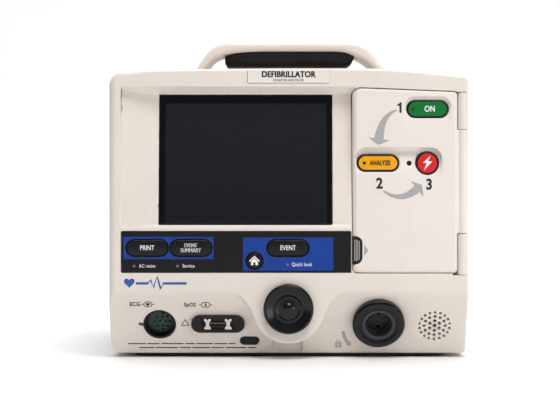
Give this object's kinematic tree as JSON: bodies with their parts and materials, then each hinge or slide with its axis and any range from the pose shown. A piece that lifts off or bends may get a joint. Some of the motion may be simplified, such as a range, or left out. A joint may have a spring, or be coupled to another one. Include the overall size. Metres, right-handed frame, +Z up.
{
  "type": "defibrillator",
  "caption": "Hospital defibrillator monitor: boxy off-white case with a fixed top handle, dark display, dial, sockets on a sloping chin, side printer and a door over manual keys.",
  "frame": {"origin": "on the floor, under the centre of the case", "axes": "+Z up, the front faces -Y, +X to the viewer's right"},
  "size_m": [0.256, 0.262, 0.229],
  "materials": {
    "case_plastic": "fine moulded texture, warm off-white",
    "black_rubber": "matt",
    "nameplate": "satin",
    "screen_glass": "gloss",
    "lcd": "satin",
    "steel": "brushed",
    "blue_overlay": "satin printed film",
    "circuit_board": "satin",
    "black_key": "satin",
    "dial_gloss": "gloss",
    "black_plastic": "fine texture",
    "ir_plastic": "gloss",
    "green_insert": "satin",
    "grey_plastic": "fine texture",
    "grey_key": "satin",
    "yellow_key": "satin",
    "green_key": "satin",
    "red_key": "satin",
    "paper": "matt paper",
    "aluminium": "satin"
  },
  "bodies": {
    "case": {"front_case": "case_plastic", "rear_case": "case_plastic", "base_plate": "grey_plastic", "feet": "black_rubber", "handle_arch": "case_plastic", "handle_grip": "black_rubber", "nameplate": "nameplate", "display_window": "screen_glass", "lcd_panel": "lcd", "lcd_bracket": "steel", "keypad_panel": "blue_overlay", "keypad_board": "circuit_board", "dial_encoder": "steel", "ecg_socket": "black_plastic", "ecg_insert": "green_insert", "spo2_bezel": "black_plastic", "spo2_shell": "steel", "ir_window": "ir_plastic", "therapy_socket": "grey_plastic", "therapy_insert": "black_plastic", "speaker": "black_plastic", "hinge_pin": "steel", "hinge_blocks": "case_plastic", "control_panel": "grey_plastic", "control_board": "circuit_board", "printer_chassis": "steel", "print_head": "black_plastic", "printer_motor": "steel", "ac_inlet": "black_plastic", "rear_port": "black_plastic", "battery_pack": "black_plastic", "battery_door": "case_plastic", "chassis_frame": "steel", "main_board": "circuit_board", "power_supply": "circuit_board", "therapy_capacitor": "aluminium", "case_screws": "steel"},
    "door": {"front_door": "case_plastic"},
    "latch": {"latch_button": "grey_plastic"},
    "dial_push": {"dial_shaft": "steel"},
    "dial": {"speed_dial": "dial_gloss"},
    "lock_ring": {"therapy_ring": "black_plastic"},
    "print_key_body": {"print_key": "black_key"},
    "event_summary_key_body": {"event_summary_key": "black_key"},
    "event_key_body": {"event_key": "black_key"},
    "home_key_body": {"home_key": "black_key"},
    "on_body": {"on_button": "green_key"},
    "analyze_body": {"analyze_button": "yellow_key"},
    "shock_body": {"shock_button": "red_key"},
    "energy_body": {"energy_key": "grey_key"},
    "charge_body": {"charge_key": "yellow_key"},
    "sync_body": {"sync_key": "grey_key"},
    "lead_body": {"lead_key": "grey_key"},
    "rate_body": {"rate_key": "grey_key"},
    "current_body": {"current_key": "grey_key"},
    "pacer_body": {"pacer_key": "grey_key"},
    "paper_door": {"printer_door": "case_plastic"},
    "platen": {"platen_roller": "black_rubber"},
    "pinion": {"motor_gear": "steel"},
    "paper": {"paper_roll": "paper"}
  },
  "joints": [
    {"name": "door_hinge", "type": "hinge", "parent": "case", "child": "door", "pos_m": [0.1242, -0.1212, 0.125], "axis": [0, 0, 1], "range_deg": [0, 165]},
    {"name": "latch_press", "type": "slide", "parent": "case", "child": "latch", "axis": [0, 1, 0], "range_m": [0, 0.002], "stiffness_N_per_m": 400},
    {"name": "dial_press", "type": "slide", "parent": "case", "child": "dial_push", "axis": [0, 1, 0], "range_m": [0, 0.0006], "stiffness_N_per_m": 600},
    {"name": "dial_turn", "type": "hinge", "parent": "dial_push", "child": "dial", "pos_m": [0, -0.128, 0.036], "axis": [0, -1, 0], "continuous": true},
    {"name": "lock_ring_turn", "type": "hinge", "parent": "case", "child": "lock_ring", "pos_m": [0.0645, -0.11797, 0.02483], "axis": [0, -0.9063, -0.4226], "range_deg": [0, 30]},
    {"name": "print_key_press", "type": "slide", "parent": "case", "child": "print_key_body", "axis": [0, 1, 0], "range_m": [0, 0.0008], "stiffness_N_per_m": 400},
    {"name": "event_summary_key_press", "type": "slide", "parent": "case", "child": "event_summary_key_body", "axis": [0, 1, 0], "range_m": [0, 0.0008], "stiffness_N_per_m": 400},
    {"name": "event_key_press", "type": "slide", "parent": "case", "child": "event_key_body", "axis": [0, 1, 0], "range_m": [0, 0.0008], "stiffness_N_per_m": 400},
    {"name": "home_key_press", "type": "slide", "parent": "case", "child": "home_key_body", "axis": [0, 1, 0], "range_m": [0, 0.0008], "stiffness_N_per_m": 400},
    {"name": "on_press", "type": "slide", "parent": "case", "child": "on_body", "axis": [0, 1, 0], "range_m": [0, 0.0015], "stiffness_N_per_m": 400},
    {"name": "analyze_press", "type": "slide", "parent": "case", "child": "analyze_body", "axis": [0, 1, 0], "range_m": [0, 0.0015], "stiffness_N_per_m": 400},
    {"name": "shock_press", "type": "slide", "parent": "case", "child": "shock_body", "axis": [0, 1, 0], "range_m": [0, 0.0015], "stiffness_N_per_m": 400},
    {"name": "energy_press", "type": "slide", "parent": "case", "child": "energy_body", "axis": [0, 1, 0], "range_m": [0, 0.001], "stiffness_N_per_m": 400},
    {"name": "charge_press", "type": "slide", "parent": "case", "child": "charge_body", "axis": [0, 1, 0], "range_m": [0, 0.001], "stiffness_N_per_m": 400},
    {"name": "sync_press", "type": "slide", "parent": "case", "child": "sync_body", "axis": [0, 1, 0], "range_m": [0, 0.001], "stiffness_N_per_m": 400},
    {"name": "lead_press", "type": "slide", "parent": "case", "child": "lead_body", "axis": [0, 1, 0], "range_m": [0, 0.001], "stiffness_N_per_m": 400},
    {"name": "rate_press", "type": "slide", "parent": "case", "child": "rate_body", "axis": [0, 1, 0], "range_m": [0, 0.001], "stiffness_N_per_m": 400},
    {"name": "current_press", "type": "slide", "parent": "case", "child": "current_body", "axis": [0, 1, 0], "range_m": [0, 0.001], "stiffness_N_per_m": 400},
    {"name": "pacer_press", "type": "slide", "parent": "case", "child": "pacer_body", "axis": [0, 1, 0], "range_m": [0, 0.001], "stiffness_N_per_m": 400},
    {"name": "paper_door_hinge", "type": "hinge", "parent": "case", "child": "paper_door", "pos_m": [-0.1248, 0.044, 0.094], "axis": [0, -1, 0], "range_deg": [0, 90]},
    {"name": "platen_turn", "type": "hinge", "parent": "case", "child": "platen", "pos_m": [-0.1135, 0.04, 0.1605], "axis": [0, 1, 0], "continuous": true},
    {"name": "pinion_turn", "type": "hinge", "parent": "case", "child": "pinion", "pos_m": [-0.099, 0.07, 0.1605], "axis": [0, 1, 0], "continuous": true},
    {"name": "paper_turn", "type": "hinge", "parent": "case", "child": "paper", "pos_m": [-0.098, 0.036, 0.116], "axis": [0, 1, 0], "continuous": true}
  ],
  "couplings": [
    {"joint": "platen_turn", "follows": "paper_turn", "ratio": 4.2},
    {"joint": "pinion_turn", "follows": "paper_turn", "ratio": -8.4}
  ]
}
